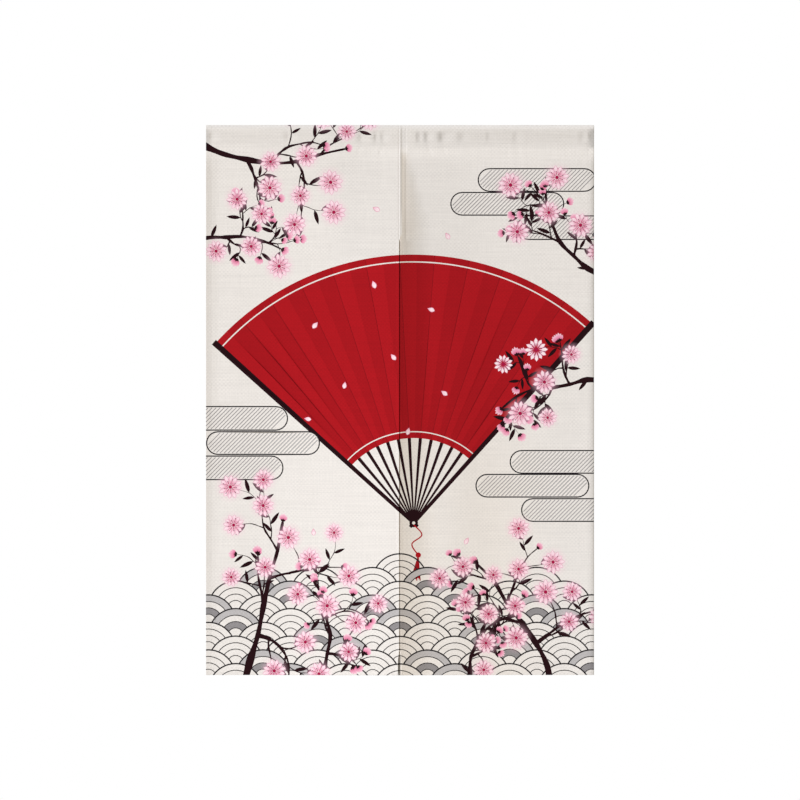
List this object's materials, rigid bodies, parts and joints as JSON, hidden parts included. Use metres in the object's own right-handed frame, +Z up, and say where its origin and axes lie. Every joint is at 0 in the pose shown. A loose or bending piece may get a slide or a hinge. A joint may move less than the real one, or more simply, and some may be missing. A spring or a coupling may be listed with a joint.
{
  "type": "noren curtain",
  "caption": "Split doorway curtain of printed cloth panels, sewn together at the top and open below, with a rod sleeve along the top edge.",
  "frame": {"origin": "middle of the top edge, at the crest of the rod sleeve, above the seam between the panels", "axes": "+Z up, +X to the viewer's right along the rod, -Y towards the viewer, who sees the printed face"},
  "size_m": [0.85, 0.0278, 1.2],
  "materials": {
    "cloth": "matte plain weave, cream with a printed red design"
  },
  "bodies": {
    "root": {"left_panel": "cloth", "left_heading": "cloth", "right_panel": "cloth", "right_heading": "cloth"}
  },
  "joints": []
}
